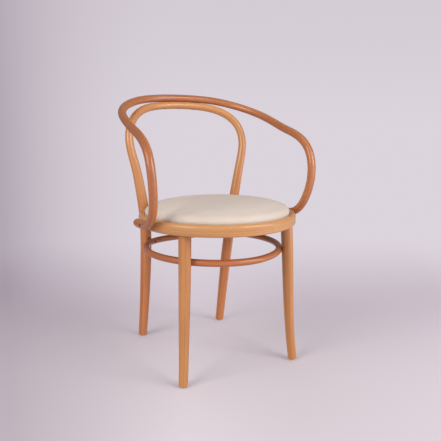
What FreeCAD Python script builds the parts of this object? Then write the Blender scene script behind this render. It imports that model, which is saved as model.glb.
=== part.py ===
import FreeCAD, Part
import math
import os

# Bentwood armchair in steamed beech with a round upholstered seat.
# One bent rail makes the crest and both arms, a second bent rod makes the back hoop and both rear
# legs, and two bent rings make the seat frame and the stretcher. Only the front legs are turned.
# Millimetres. X is to the sitter's left and right, the chair faces -Y, and Z is up from the floor.
# The pieces are laid out about the upright axis through the middle of the seat ring, and every
# finished piece is then moved back so that the origin lies under the middle of the whole chair.

V = FreeCAD.Vector

# Whole chair
OVERALL_HEIGHT = 761.5       # floor to the top of the crest
ARM_SPAN = 502.5             # outside of one arm to the outside of the other
RIM_Z = 429.0                # floor to the top of the seat ring

# Clearances
TOUCH = 0.1                  # between round rods that bear on each other
FIT = 0.15                   # between a joint's two halves
BORE_PLAY = 0.05             # between a screw or bolt and its hole
CLOTH_PLAY = 0.25            # between the stuffing and its cover

# Seat ring: one bent bar, rebated inside for the seat pad
RING_D = 439.0
RING_WIDTH = 38.0
RING_HEIGHT = 30.6
RIM_WIDTH = 16.0
REBATE_DEPTH = 10.0
RING_TOP_ROUND = 8.0
RING_FOOT_ROUND = 6.0
RIM_EASE = 1.5

# Arm rail: crest, arms and the short tails that lie along the outside of the seat ring
RAIL_D = 22.4
TAIL_D = 22.0
ARM_TAPER = 200.0            # length over which the arm thins to its tail
RAIL_BACK_Y = 266.0
ARM_FRONT_Y = -115.4
TAIL_START_ANGLE = -4.8      # where the arm lies down against the ring
TAIL_LENGTH = 47.0
TAIL_END_ROUND = 8.0

# Back hoop and rear legs
HOOP_WIDTH = 400.5           # outside of the hoop at its widest
HOOP_CROWN_D = 22.4
HOOP_WIDEST_D = 23.2
CREST_LEAN = 13.0            # the hoop bears on the rail from below and a little in front
REAR_LEG_ANGLE = 49.1        # seen from above, from the X axis towards the back
REAR_LEG_D = 31.4            # where the leg passes the seat ring
REAR_LEG_CALF_D = 33.0
REAR_FOOT_D = 27.0
REAR_FOOT_X = 141.3
REAR_FOOT_Y = 247.0
RING_POCKET = 1.2            # the ring is let in by this for each rear leg
LEG_NOTCH = 1.8              # and the leg by this for the ring

# Front legs
FRONT_LEG_ANGLE = -36.95
FRONT_LEG_INSET = 25.0       # from the ring's outside to the leg's axis
FRONT_LEG_D = 32.8
FRONT_FOOT_D = 24.4
FRONT_FOOT_SPLAY_X = 18.6
FRONT_FOOT_SPLAY_Y = -18.7
TENON_D = 18.0
TENON_LENGTH = 16.0
TENON_CHAMFER = 1.0
FOOT_ROUND = 3.0

# Stretcher ring, bent a little out of round so that it bears on all four legs
STRETCHER_Z = 323.5
STRETCHER_D = 18.4
STRETCHER_FRONT_INSET = 36.0   # how far its outside lies within the seat ring's, at the front,
STRETCHER_SIDE_INSET = 22.0    # at its widest
STRETCHER_BACK_INSET = 16.6    # and at the back
STRETCHER_WIDEST_Y = 62.0
HOUSING = 1.2                # depth that it is let into each leg

# Seat pad: plywood, foam and a stretched cover
BOARD_THICKNESS = 9.0
PAD_SIDE_GAP = 2.0           # between the pad's side and the rebate
COVER_THICKNESS = 1.2
PAD_RISE = 33.6              # crown above the rim
PAD_ROLL = 20.5              # roundness of the pad's edge
PAD_SWELL = 2.2              # above the rebate the pad swells out by this
PAD_WAIST = 0.5              # and is widest this far above the rim
DOME_POWER = 4               # the dome falls off as this power of the distance from its middle
DOME_POINTS = 8
COVER_TURN = 26.0            # width of cover turned under the board
LINING_THICKNESS = 0.5
LINING_LAP = 4.0             # the lining laps the turned-in cover by this
STAPLE_COUNT = 18
STAPLE_WIDTH = 10.0
STAPLE_LEG = 6.0
STAPLE_WIRE = 0.9

# Screws, bolts and glides
SCREW_D = 4.0
SCREW_HEAD_D = 8.0
SCREW_HEAD_HEIGHT = 2.6
SCREW_SINK = 1.4             # flat heads lie this far below round wood
CREST_SCREW_LENGTH = 32.0
CREST_SCREW_PITCH = 48.0
STRETCHER_SCREW_LENGTH = 34.0
TENON_SCREW_LENGTH = 28.0
TAIL_SCREW_LENGTH = 42.0
TAIL_SCREW_ANGLE = -5.8
SEAT_SCREW_LENGTH = 28.0
SEAT_SCREW_RADIUS = 191.0
WASHER_D = 12.0
WASHER_THICKNESS = 1.0
BOLT_D = 6.0
BOLT_HEAD_D = 11.0
BOLT_HEAD_HEIGHT = 4.0
BOLT_SOCKET_D = 4.0
BOLT_END_GAP = 1.0           # from the bolt's tip to the end of its insert
BOLT_DROP = 7.5              # below the middle of the ring
BOLT_WASHER_D = 18.0
BOLT_WASHER_THICKNESS = 1.6
SPOT_DEPTH = 1.2
INSERT_D = 9.0
INSERT_LENGTH = 12.0
GLIDE_D = 19.0
GLIDE_HEIGHT = 2.4
NAIL_D = 2.2
NAIL_HEAD_D = 6.0
NAIL_HEAD_HEIGHT = 0.8
NAIL_LENGTH = 15.0

SECTION_PITCH = 27.0         # between the cross sections of a bent rod
EDGE_MATCH = 0.01            # how near an edge lies to the level where it is looked for

# Levels and radii that follow from the sizes above
RING_R = RING_D / 2
RING_INNER_R = RING_R - RING_WIDTH
REBATE_R = RING_R - RIM_WIDTH
RING_FOOT_Z = RIM_Z - RING_HEIGHT
RING_MID_Z = RIM_Z - RING_HEIGHT / 2
REBATE_Z = RIM_Z - REBATE_DEPTH
RAIL_CROWN_Z = OVERALL_HEIGHT - RAIL_D / 2
TAIL_R = RING_R + TOUCH + TAIL_D / 2
PAD_R = REBATE_R - PAD_SIDE_GAP
REAR_LEG_R = RING_R - RING_POCKET - LEG_NOTCH + REAR_LEG_D / 2
POCKET_R = RING_R - RING_POCKET
FRONT_LEG_R = RING_R - FRONT_LEG_INSET
PLAN_SHIFT = (RAIL_BACK_Y + RAIL_D / 2 - RING_R) / 2
UP = V(0, 0, 1)


def polar(radius, angle, z):
    """The point at this radius and angle (degrees, from X) about the seat ring's axis."""
    a = math.radians(angle)
    return V(radius * math.cos(a), radius * math.sin(a), z)


def outward(angle):
    """Level unit vector away from the seat ring's axis."""
    return polar(1, angle, 0)


def mirrored(point):
    return V(-point.x, point.y, point.z)


def between(start, end, share):
    return start + (end - start) * share


def rod(point, direction, radius, length):
    """Round bar that starts at a point and runs along a direction."""
    return Part.makeCylinder(radius, length, point, direction)


def both_sides(shape):
    """A right-hand shape with its mirror image, as one group."""
    return Part.makeCompound([shape, shape.mirror(V(0, 0, 0), V(1, 0, 0))])


def interpolated(points, start=None, end=None):
    """Smooth curve through points, with a set direction at each end where one is given."""
    curve = Part.BSplineCurve()
    if start and end:
        curve.interpolate(Points=points, InitialTangent=start, FinalTangent=end, Scale=False)
    else:
        curve.interpolate(Points=points)
    return curve


def walk(curve, pitch):
    """Evenly spaced points along a curve, each with the curve's direction there."""
    first, last = curve.FirstParameter, curve.LastParameter
    length = curve.length(first, last)
    count = max(2, math.ceil(length / pitch))
    steps = []
    for i in range(count + 1):
        u = curve.parameterAtDistance(length * i / count, first)
        steps.append((curve.value(u), curve.tangent(u)[0]))
    return steps


def width_at(sizes, travelled):
    """Diameter at a distance along a path, from (distance, diameter) pairs."""
    for before, after in zip(sizes, sizes[1:]):
        if travelled <= after[0]:
            break
    share = (travelled - before[0]) / (after[0] - before[0])
    return before[1] + (after[1] - before[1]) * min(max(share, 0), 1)


def diameters(steps, sizes):
    """Diameter at each step of a path."""
    found, travelled = [], 0.0
    for i, (point, _) in enumerate(steps):
        if i:
            travelled += (point - steps[i - 1][0]).Length
        found.append(width_at(sizes, travelled))
    return found


def sections(steps, widths, side):
    """Frames (centre, direction, side, radius) carried along the path without twist."""
    frames = []
    for (point, ahead), width in zip(steps, widths):
        side = (side - ahead * side.dot(ahead)).normalize()
        frames.append((point, ahead, side, width / 2))
    return frames


def section_pole(frame, eighth):
    """Point on the round section, or between two of them the corner where their tangents meet."""
    centre, ahead, side, radius = frame
    angle = math.pi * eighth / 4
    reach = radius * (math.sqrt(2) if eighth % 2 else 1)
    return centre + side * (reach * math.cos(angle)) + ahead.cross(side) * (reach * math.sin(angle))


def end_face(frame):
    """Flat round face that closes a rod."""
    points = []
    for sixteenth in range(17):
        a = math.pi * sixteenth / 8
        centre, ahead, side, radius = frame
        points.append(centre + side * (radius * math.cos(a))
                      + ahead.cross(side) * (radius * math.sin(a)))
    arcs = [Part.Arc(points[k], points[k + 2], points[k + 4]).toShape() for k in (0, 4, 8, 12)]
    return Part.Face(Part.Wire(arcs))


def bent_rod(frames):
    """Solid rod with four long faces that pass smoothly through its round cross sections."""
    distances = [0.0]
    for here, there in zip(frames, frames[1:]):
        distances.append(distances[-1] + (there[0] - here[0]).Length)
    lines = []
    for eighth in range(8):
        line = Part.BSplineCurve()
        line.interpolate(Points=[section_pole(frame, eighth) for frame in frames],
                         Parameters=distances)
        lines.append(line)
    faces = [end_face(frames[0]), end_face(frames[-1])]
    knots, repeats = lines[0].getKnots(), lines[0].getMultiplicities()
    corner = math.sqrt(0.5)
    for k in (0, 2, 4, 6):
        poles = [lines[k].getPoles(), lines[k + 1].getPoles(), lines[(k + 2) % 8].getPoles()]
        count = len(poles[0])
        weights = [[1.0] * count, [corner] * count, [1.0] * count]
        patch = Part.BSplineSurface()
        patch.buildFromPolesMultsKnots(poles, [3, 3], repeats, [0.0, 1.0], knots, False, False,
                                       2, 3, weights)
        faces.append(patch.toShape())
    shell = Part.makeShell(faces)
    shell.sewShape()
    solid = Part.makeSolid(shell)
    if solid.Volume < 0:
        solid.reverse()
    return solid


def mirror_pair(frames):
    """Frames of the whole rod, from the frames of its right half that start at X = 0."""
    left = []
    for point, ahead, side, radius in reversed(frames[1:]):
        left.append((mirrored(point), mirrored(ahead) * -1, mirrored(side), radius))
    return left + frames


def level_edges(shape, z):
    """Edges of a shape that lie level at this height."""
    found = []
    for edge in shape.Edges:
        box = edge.BoundBox
        if abs(box.ZMax - z) < EDGE_MATCH and abs(box.ZMin - z) < EDGE_MATCH:
            found.append(edge)
    return found


def flat_foot(shape):
    """Cut a leg level on top of its glide and round the rim of its foot."""
    span = ARM_SPAN * 2
    floor_block = Part.makeBox(span, span, span, V(-span / 2, -span / 2, GLIDE_HEIGHT - span))
    shape = shape.cut(floor_block)
    return shape.makeFillet(FOOT_ROUND, level_edges(shape, GLIDE_HEIGHT))


def aimed(shape, point, direction):
    """Turn a shape that was made along Z, from the origin, to run from a point along a direction."""
    turned = shape.copy()
    turned.Placement = FreeCAD.Placement(point, FreeCAD.Rotation(UP, direction))
    return turned


def countersunk_screw(length, play=0.0):
    """Wood screw along Z with its flat head at the origin; with play it is the hole for one."""
    head_r, shank_r = SCREW_HEAD_D / 2 + play, SCREW_D / 2 + play
    tip = length + play
    shape = Part.makeCone(head_r, shank_r, SCREW_HEAD_HEIGHT)
    shape = shape.fuse(Part.makeCylinder(shank_r, tip - SCREW_D))
    shape = shape.fuse(Part.makeCone(shank_r, SCREW_D / 8, SCREW_D, V(0, 0, tip - SCREW_D)))
    if play:
        return shape.fuse(Part.makeCylinder(head_r, 2 * SCREW_SINK, V(0, 0, -2 * SCREW_SINK)))
    slot = Part.makeBox(SCREW_HEAD_D, SCREW_D / 4, SCREW_HEAD_HEIGHT)
    return shape.cut(slot.translated(V(-SCREW_HEAD_D / 2, -SCREW_D / 8, -SCREW_HEAD_HEIGHT / 2)))


def sunk_screw(start, heading, length):
    """Flat-headed screw driven from a point on the wood's surface, and its hole."""
    seat = start + heading * SCREW_SINK
    screw = aimed(countersunk_screw(length), seat, heading)
    return screw, aimed(countersunk_screw(length, BORE_PLAY), seat, heading)


def pan_screw(length, play=0.0):
    """Wood screw along Z with a domed head below the origin; with play it is the hole."""
    shank_r = SCREW_D / 2 + play
    tip = length + play
    shape = Part.makeCylinder(shank_r, tip - SCREW_D)
    shape = shape.fuse(Part.makeCone(shank_r, SCREW_D / 8, SCREW_D, V(0, 0, tip - SCREW_D)))
    if play:
        return shape
    head = Part.makeCylinder(SCREW_HEAD_D / 2, SCREW_HEAD_HEIGHT, V(0, 0, -SCREW_HEAD_HEIGHT))
    head = head.makeFillet(SCREW_HEAD_HEIGHT / 2, level_edges(head, -SCREW_HEAD_HEIGHT))
    slot = Part.makeBox(SCREW_HEAD_D, SCREW_D / 4, SCREW_HEAD_HEIGHT / 2)
    head = head.cut(slot.translated(V(-SCREW_HEAD_D / 2, -SCREW_D / 8, -SCREW_HEAD_HEIGHT)))
    return shape.fuse(head)


def tube(point, direction, outer_d, inner_d, length):
    """Round bar with a hole right through it."""
    return rod(point, direction, outer_d / 2, length).cut(rod(point, direction, inner_d / 2, length))


def rear_leg_axis():
    """Where the rear leg's axis passes the middle of the seat ring."""
    return polar(REAR_LEG_R, REAR_LEG_ANGLE, RING_MID_Z)


# Shape of the back hoop: shares of its half width, of its depth and of its height above the
# seat ring's middle
HOOP_SHAPE = (
    (0.376, 0.913, 0.989),
    (0.635, 0.714, 0.957),
    (0.804, 0.489, 0.905),
    (0.914, 0.311, 0.839),
    (0.976, 0.183, 0.762),
    (1.000, 0.093, 0.683),
    (0.996, 0.029, 0.606),
    (0.973, -0.010, 0.531),
    (0.914, -0.042, 0.379),
    (0.864, -0.030, 0.217),
)

# Shape of the rear leg below the seat ring: shares of its run in X, in Y and of its drop
REAR_LEG_SHAPE = (
    (0.68, 0.150, 0.22),
    (0.92, 0.340, 0.40),
    (1.01, 0.495, 0.55),
    (1.05, 0.730, 0.77),
)


def hoop_crown():
    """Top of the hoop's axis: it bears on the rail's crown from below."""
    reach = (RAIL_D + HOOP_CROWN_D) / 2 + TOUCH
    lean = math.radians(CREST_LEAN)
    return V(0, RAIL_BACK_Y - reach * math.sin(lean), RAIL_CROWN_Z - reach * math.cos(lean))


def hoop_path():
    """Right half of the hoop's axis, from the crown to below the floor, and its diameters."""
    crown, seat = hoop_crown(), rear_leg_axis()
    half_width = (HOOP_WIDTH - HOOP_WIDEST_D) / 2
    points = [crown]
    for across, deep, high in HOOP_SHAPE:
        points.append(V(half_width * across, between(seat, crown, deep).y,
                        between(seat, crown, high).z))
    points.append(seat)
    foot = V(REAR_FOOT_X, REAR_FOOT_Y, 0)
    for across, deep, drop in REAR_LEG_SHAPE:
        points.append(V(between(seat, foot, across).x, between(seat, foot, deep).y,
                        between(seat, foot, drop).z))
    points.append(foot)
    heading = (foot - points[-2]).normalize()
    points.append(foot + heading * REAR_FOOT_D)
    curve = interpolated(points, V(1, 0, 0), heading)
    marks = [curve.length(curve.FirstParameter, curve.parameter(p)) for p in points[1:]]
    seat_mark = marks[len(HOOP_SHAPE)]
    shares = [row[0] for row in HOOP_SHAPE]
    widest_mark = marks[shares.index(max(shares))]
    sizes = [(0, HOOP_CROWN_D), (widest_mark, HOOP_WIDEST_D), (seat_mark, REAR_LEG_D),
             (marks[len(HOOP_SHAPE) + 1], REAR_LEG_CALF_D),
             (marks[len(HOOP_SHAPE) + 2], REAR_LEG_CALF_D), (marks[-2], REAR_FOOT_D),
             (marks[-1], REAR_FOOT_D)]
    return curve, sizes


# Shape of the arm: shares of its half span, of its depth from the front of the arm to the
# crest, and of its height above the seat ring's middle
ARM_SHAPE = (
    (0.321, 0.984, 0.992),
    (0.546, 0.943, 0.972),
    (0.696, 0.886, 0.944),
    (0.797, 0.821, 0.916),
    (0.917, 0.686, 0.860),
    (0.965, 0.547, 0.805),
    (0.982, 0.339, 0.724),
    (0.995, 0.161, 0.655),
    (1.000, 0.048, 0.552),
    (0.997, 0.003, 0.414),
)

# Shape of the bow from the arm down to the ring: shares of the way out from the ring's side to
# the arm's half span, and of the same depth and height
ARM_FOOT_SHAPE = (
    (0.590, 0.007, 0.266),
    (0.127, 0.050, 0.133),
    (-0.070, 0.130, 0.038),
)


def tail_end():
    """Angle where the tail's turned tip begins, with the tip's base and direction."""
    angle = TAIL_START_ANGLE + math.degrees((TAIL_LENGTH - TAIL_END_ROUND) / TAIL_R)
    return angle, polar(TAIL_R, angle, RING_MID_Z), outward(angle + 90)


def arm_steps():
    """Steps along the right half of the arm rail, from the crown to the tip of its tail."""
    crown = V(0, RAIL_BACK_Y, RAIL_CROWN_Z)
    landing = polar(TAIL_R, TAIL_START_ANGLE, RING_MID_Z)
    out = V((ARM_SPAN - RAIL_D) / 2, 0, 0)
    front_foot, back_top = V(0, ARM_FRONT_Y, RING_MID_Z), crown
    points = [crown]
    for inner, rows in ((V(0, 0, 0), ARM_SHAPE), (V(landing.x, 0, 0), ARM_FOOT_SHAPE)):
        for across, deep, high in rows:
            points.append(V(between(inner, out, across).x, between(front_foot, back_top, deep).y,
                            between(front_foot, back_top, high).z))
    points.append(landing)
    bow = interpolated(points, V(1, 0, 0), outward(TAIL_START_ANGLE + 90))
    angle, tip, _ = tail_end()
    middle = polar(TAIL_R, (TAIL_START_ANGLE + angle) / 2, RING_MID_Z)
    steps = walk(bow, SECTION_PITCH)
    steps += walk(Part.Arc(landing, middle, tip), SECTION_PITCH)[1:]
    return steps, bow.length(bow.FirstParameter, bow.LastParameter)


def make_arm_rail():
    """Bent rail with rounded tail ends, before its joints are cut."""
    steps, bow_length = arm_steps()
    sizes = [(0, RAIL_D), (bow_length - ARM_TAPER, RAIL_D), (bow_length, TAIL_D),
             (bow_length + TAIL_LENGTH, TAIL_D)]
    frames = sections(steps, diameters(steps, sizes), V(0, 1, 0))
    rail = bent_rod(mirror_pair(frames))
    _, base, along = tail_end()
    end = base + along * TAIL_END_ROUND
    tip = rod(base, along, TAIL_D / 2, TAIL_END_ROUND)
    edge = [e for e in tip.Edges if (e.CenterOfMass - end).Length < TAIL_END_ROUND / 2]
    return rail.fuse(both_sides(tip.makeFillet(TAIL_END_ROUND - FIT, edge)))


def make_back_hoop():
    """Bent hoop with both rear legs, before its joints are cut."""
    curve, sizes = hoop_path()
    steps = walk(curve, SECTION_PITCH)
    frames = sections(steps, diameters(steps, sizes), V(0, 1, 0))
    return flat_foot(bent_rod(mirror_pair(frames)))


# Shape of the front leg: shares of its splay in X and Y and of its drop, and of its taper
FRONT_LEG_SHAPE = (
    (0.14, 0.18, 0.18, 0.02),
    (0.35, 0.34, 0.47, 0.32),
    (0.60, 0.55, 0.74, 0.72),
    (0.77, 0.74, 0.87, 0.90),
)


def front_leg_head():
    """Where the right front leg's axis meets the underside of the seat ring."""
    return polar(FRONT_LEG_R, FRONT_LEG_ANGLE, RING_FOOT_Z)


def front_foot():
    """Where the right front leg's axis meets the floor."""
    head = front_leg_head()
    return V(head.x + FRONT_FOOT_SPLAY_X, head.y + FRONT_FOOT_SPLAY_Y, 0)


def front_leg_path():
    """Axis of the right front leg, from the ring to below the floor, and its diameters."""
    head, foot = front_leg_head(), front_foot()
    points, tapers = [head], [0]
    for across, deep, drop, taper in FRONT_LEG_SHAPE:
        points.append(V(between(head, foot, across).x, between(head, foot, deep).y,
                        between(head, foot, drop).z))
        tapers.append(taper)
    heading = (foot - points[-1]).normalize()
    points += [foot, foot + heading * FRONT_FOOT_D]
    curve = interpolated(points)
    marks = [curve.length(curve.FirstParameter, curve.parameter(p)) for p in points[1:]]
    widths = [FRONT_LEG_D + (FRONT_FOOT_D - FRONT_LEG_D) * taper for taper in tapers + [1, 1]]
    return curve, list(zip([0] + marks, widths))


def make_front_leg():
    """Turned and bent right front leg with the tenon that enters the seat ring."""
    curve, sizes = front_leg_path()
    steps = walk(curve, SECTION_PITCH)
    widths = diameters(steps, sizes)
    start, ahead = steps[0]
    steps.insert(0, (start - ahead * FRONT_LEG_D, ahead))
    leg = bent_rod(sections(steps, [FRONT_LEG_D] + widths, V(0, 1, 0)))
    above = Part.makeBox(RING_D, RING_D, RING_D, V(0, -RING_D, RING_FOOT_Z))
    leg = leg.cut(above)
    root = front_leg_head() - UP * (FRONT_LEG_D / 2)
    tenon = rod(root, UP, TENON_D / 2, FRONT_LEG_D / 2 + TENON_LENGTH)
    rim = level_edges(tenon, RING_FOOT_Z + TENON_LENGTH)
    return flat_foot(leg.fuse(tenon.makeChamfer(TENON_CHAMFER, rim)))


def leg_at(path, z):
    """Point of a leg's axis at a height, found by halving, and the leg's radius there."""
    curve, sizes = path
    above, below = curve.FirstParameter, curve.LastParameter
    for _ in range(40):
        middle = (above + below) / 2
        if curve.value(middle).z > z:
            above = middle
        else:
            below = middle
    travelled = curve.length(curve.FirstParameter, below)
    return curve.value(below), width_at(sizes, travelled) / 2


def stretcher_bearings():
    """Where the stretcher's axis passes the right front and rear legs, with the level direction
    from its middle to each."""
    middle = V(0, (STRETCHER_FRONT_INSET - STRETCHER_BACK_INSET) / 2, STRETCHER_Z)
    bearings = []
    for path in (front_leg_path(), hoop_path()):
        leg, leg_r = leg_at(path, STRETCHER_Z)
        heading = (leg - middle).normalize()
        bearings.append((leg - heading * (leg_r - HOUSING + STRETCHER_D / 2), heading))
    return bearings


def make_stretcher_ring(swell=0.0):
    """Round rod bent to a closed ring, or the round that it needs in a leg."""
    (by_front, _), (by_rear, _) = stretcher_bearings()
    reach = RING_R - STRETCHER_D / 2
    points = [
        V(0, STRETCHER_FRONT_INSET - reach, STRETCHER_Z),
        by_front,
        V(reach - STRETCHER_SIDE_INSET, STRETCHER_WIDEST_Y, STRETCHER_Z),
        by_rear,
        V(0, reach - STRETCHER_BACK_INSET, STRETCHER_Z),
    ]
    steps = walk(interpolated(points, V(1, 0, 0), V(-1, 0, 0)), SECTION_PITCH)
    half = bent_rod(sections(steps, [STRETCHER_D + 2 * swell] * len(steps), UP))
    return half.fuse(half.mirror(V(0, 0, 0), V(1, 0, 0)))


def make_seat_ring():
    """Bent bar with a rebate for the pad and its corners rounded, before its joints are cut."""
    ring = Part.makeCylinder(RING_R, RING_HEIGHT, V(0, 0, RING_FOOT_Z))
    ring = ring.cut(Part.makeCylinder(RING_INNER_R, RING_HEIGHT, V(0, 0, RING_FOOT_Z)))
    ring = ring.cut(Part.makeCylinder(REBATE_R, REBATE_DEPTH, V(0, 0, REBATE_Z)))
    for radius, z, size in ((RING_R, RIM_Z, RING_TOP_ROUND), (RING_R, RING_FOOT_Z, RING_FOOT_ROUND),
                            (REBATE_R, RIM_Z, RIM_EASE), (RING_INNER_R, RING_FOOT_Z, RIM_EASE)):
        ring = round_circle(ring, radius, z, size)
    return ring


def round_circle(shape, radius, z, size):
    """Round the level circular edges of this radius at this height."""
    picked = [edge for edge in level_edges(shape, z)
              if abs(edge.BoundBox.XMax - radius) < EDGE_MATCH]
    return shape.makeFillet(size, picked)


def upright_arc(low, high):
    """Arc from a low to a high point in the XZ plane that stands upright at the high one."""
    out, rise = high.x - low.x, high.z - low.z
    radius = (out ** 2 + rise ** 2) / (2 * out)
    half = math.asin(rise / radius) / 2
    middle = V(high.x - radius + radius * math.cos(half), 0, high.z - radius * math.sin(half))
    return Part.Arc(low, middle, high)


def roll_lean(hub_r, roll, rise):
    """Angle from upright at which the dome runs into the round of the pad's edge, found by
    halving: there the dome's slope and height are those of the round."""
    low, high = 0.0, math.pi / 3
    for _ in range(40):
        lean = (low + high) / 2
        fall = math.tan(lean) * (hub_r + roll * math.sin(lean)) / DOME_POWER
        if rise - fall > roll * math.cos(lean):
            low = lean
        else:
            high = lean
    return lean


def pad_form(shrink):
    """Crowned round form of the pad, or of what lies this far inside it."""
    side_r, low_r = PAD_R + PAD_SWELL - shrink, PAD_R - shrink
    roll = PAD_ROLL - shrink
    hub_r = side_r - roll
    base_z, waist_z = REBATE_Z + shrink, RIM_Z + PAD_WAIST
    crown_z = RIM_Z + PAD_RISE - shrink
    lean = roll_lean(hub_r, roll, crown_z - waist_z)
    join_r = hub_r + roll * math.sin(lean)
    fall = math.tan(lean) * join_r / DOME_POWER
    dome = []
    for k in range(DOME_POINTS + 1):
        share = k / DOME_POINTS
        dome.append(V(join_r * share, 0, crown_z - fall * share ** DOME_POWER))
    half_turn = (math.pi / 2 + lean) / 2
    on_round = V(hub_r + roll * math.sin(half_turn), 0, waist_z + roll * math.cos(half_turn))
    base, foot, lip, widest = (V(0, 0, base_z), V(low_r, 0, base_z), V(low_r, 0, RIM_Z - RIM_EASE),
                               V(side_r, 0, waist_z))
    outline = [
        Part.LineSegment(base, foot).toShape(),
        Part.LineSegment(foot, lip).toShape(),
        upright_arc(lip, widest).toShape(),
        Part.Arc(widest, on_round, dome[-1]).toShape(),
        interpolated(dome, V(1, 0, 0), V(math.cos(lean), 0, -math.sin(lean))).toShape(),
        Part.LineSegment(dome[0], base).toShape(),
    ]
    return Part.Face(Part.Wire(outline)).revolve(V(0, 0, 0), UP, 360)


def disc(radius, thickness, z):
    return Part.makeCylinder(radius, thickness, V(0, 0, z))


def make_seat_pad():
    """Plywood board, foam and cover, each closed solid nested in the next."""
    board_z = REBATE_Z + COVER_THICKNESS
    board_r = PAD_R - COVER_THICKNESS - CLOTH_PLAY
    board = disc(board_r, BOARD_THICKNESS, board_z)
    below = disc(RING_D, board_z + BOARD_THICKNESS, 0)
    foam = pad_form(COVER_THICKNESS + CLOTH_PLAY).cut(below)
    cover = pad_form(0).cut(pad_form(COVER_THICKNESS))
    hole = disc(PAD_R - COVER_TURN, COVER_THICKNESS, REBATE_Z)
    return board, foam, cover.cut(hole)


def make_lining():
    """Thin cloth disc that closes the underside of the board."""
    return disc(PAD_R - COVER_TURN + LINING_LAP, LINING_THICKNESS, REBATE_Z - LINING_THICKNESS)


def staples():
    """Wire staples through the lining and the turned-in cover, into the board."""
    radius = PAD_R - COVER_TURN + LINING_LAP / 2
    crown_z = REBATE_Z - LINING_THICKNESS - STAPLE_WIRE
    height = STAPLE_WIRE + LINING_THICKNESS + COVER_THICKNESS + STAPLE_LEG
    made = []
    for k in range(STAPLE_COUNT):
        staple = Part.makeBox(STAPLE_WIRE, STAPLE_WIDTH, height,
                              V(radius - STAPLE_WIRE / 2, -STAPLE_WIDTH / 2, crown_z))
        inside = Part.makeBox(STAPLE_WIRE, STAPLE_WIDTH - 2 * STAPLE_WIRE, height,
                              V(radius - STAPLE_WIRE / 2, STAPLE_WIRE - STAPLE_WIDTH / 2,
                                crown_z + STAPLE_WIRE))
        staple = staple.cut(inside)
        staple.rotate(V(0, 0, 0), UP, 360 * k / STAPLE_COUNT)
        made.append(staple)
    return Part.makeCompound(made)


def crest_joints():
    """Starts and common direction of the screws that go up through the hoop into the crest."""
    curve, _ = hoop_path()
    heading = (V(0, RAIL_BACK_Y, RAIL_CROWN_Z) - hoop_crown()).normalize()
    starts = []
    for place in (-1, 0, 1):
        reach = curve.parameterAtDistance(CREST_SCREW_PITCH * abs(place), curve.FirstParameter)
        on_axis = curve.value(reach)
        on_axis.x = math.copysign(on_axis.x, place)
        starts.append(on_axis - heading * (HOOP_CROWN_D / 2))
    return starts, heading


def stretcher_joints():
    """Starts and directions of the screws from inside the stretcher into the right-hand legs."""
    return [(place - heading * (STRETCHER_D / 2), heading)
            for place, heading in stretcher_bearings()]


def tail_joint():
    """Outer start and inward direction of the screw through the right tail into the ring."""
    return (polar(TAIL_R + TAIL_D / 2, TAIL_SCREW_ANGLE, RING_MID_Z),
            outward(TAIL_SCREW_ANGLE) * -1)


def front_tenon_joint():
    """Start and direction of the screw that locks the right tenon, from inside the ring."""
    z = RING_FOOT_Z + TENON_LENGTH / 2
    return polar(RING_INNER_R, FRONT_LEG_ANGLE, z), outward(FRONT_LEG_ANGLE)


def seat_screw_spots():
    return [polar(SEAT_SCREW_RADIUS, angle, RING_FOOT_Z) for angle in (0, 90, 180, 270)]


def rear_bolt():
    """Right-hand bolt, washer and threaded insert, and the holes that they need in ring and leg."""
    z = RING_MID_Z - BOLT_DROP
    heading = outward(REAR_LEG_ANGLE)
    seat_r = math.sqrt(RING_INNER_R ** 2 - (BOLT_WASHER_D / 2) ** 2) + SPOT_DEPTH
    seat, mouth = polar(seat_r, REAR_LEG_ANGLE, z), polar(POCKET_R, REAR_LEG_ANGLE, z)
    under_head = seat - heading * BOLT_WASHER_THICKNESS
    top = under_head - heading * BOLT_HEAD_HEIGHT
    length = POCKET_R + INSERT_LENGTH - BOLT_END_GAP - seat_r + BOLT_WASHER_THICKNESS
    hole_d = BOLT_D + 2 * BORE_PLAY
    head = tube(top, heading, BOLT_HEAD_D, BOLT_SOCKET_D, BOLT_HEAD_HEIGHT / 2)
    head = head.fuse(rod(top + heading * (BOLT_HEAD_HEIGHT / 2), heading, BOLT_HEAD_D / 2,
                         BOLT_HEAD_HEIGHT / 2))
    bolt = head.fuse(rod(under_head, heading, BOLT_D / 2, length))
    washer = tube(under_head, heading, BOLT_WASHER_D, hole_d, BOLT_WASHER_THICKNESS)
    insert = tube(mouth, heading, INSERT_D, hole_d, INSERT_LENGTH)
    ring_hole = rod(seat, heading, hole_d / 2, RING_WIDTH)
    spot = rod(seat - heading * RING_WIDTH / 2, heading, BOLT_WASHER_D / 2 + FIT, RING_WIDTH / 2)
    leg_hole = rod(mouth, heading, INSERT_D / 2 + BORE_PLAY, INSERT_LENGTH)
    return bolt, washer, insert, ring_hole.fuse(spot), leg_hole


def rear_leg_pocket():
    """What the ring loses for the right rear leg: the leg's own round, down to the joint's face."""
    curve, _ = hoop_path()
    axis = rear_leg_axis()
    ahead = curve.tangent(curve.parameter(axis))[0]
    reach = RING_HEIGHT * 2
    body = rod(axis - ahead * reach / 2, ahead, REAR_LEG_D / 2 + FIT * 2, reach)
    return body.cut(half_space(POCKET_R, RING_HEIGHT * 4))


def half_space(radius, height):
    """Block on the seat side of the rear leg's joint face."""
    size = RING_D
    block = Part.makeBox(size, size, height, V(radius - size, -size / 2, RING_MID_Z - height / 2))
    block.rotate(V(0, 0, 0), UP, REAR_LEG_ANGLE)
    return block


def rear_leg_notch():
    """What the right rear leg loses for the ring: a flat with a shoulder above and below."""
    return half_space(POCKET_R, RING_HEIGHT + 2 * FIT)


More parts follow.
